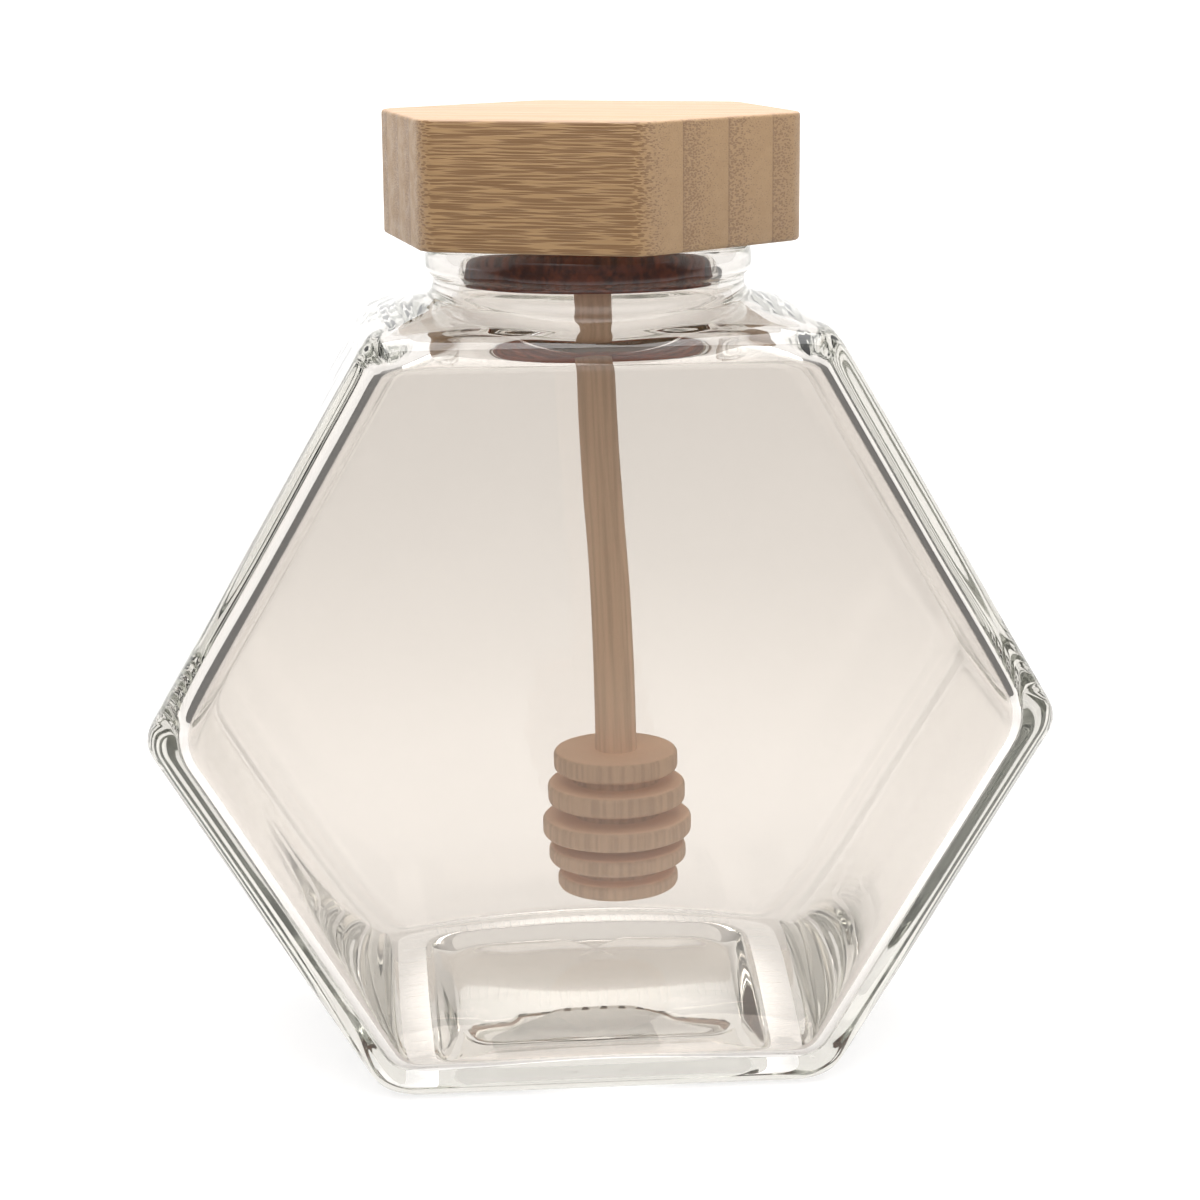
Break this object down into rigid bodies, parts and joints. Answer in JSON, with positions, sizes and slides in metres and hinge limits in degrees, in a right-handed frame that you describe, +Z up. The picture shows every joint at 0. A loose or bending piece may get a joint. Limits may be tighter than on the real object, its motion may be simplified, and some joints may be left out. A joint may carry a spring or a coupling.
{
  "type": "glass honey pot",
  "caption": "Empty hexagonal clear glass honey jar with a bamboo stopper lid and a wooden dipper hanging inside.",
  "frame": {"origin": "centre of the jar's foot, on the surface that it stands on", "axes": "+Z up, the hexagonal front face towards -Y, the jar's width along X"},
  "size_m": [0.1236, 0.0588, 0.1336],
  "materials": {
    "clear_glass": "clear, fire polished",
    "bamboo": "sanded, matt oil",
    "dark_cork": "dark compressed cork",
    "beech": "bare turned wood"
  },
  "bodies": {
    "root": {"jar": "clear_glass", "lid": "bamboo", "stopper": "dark_cork", "dipper_stick": "beech", "dipper_head": "beech"}
  },
  "joints": []
}
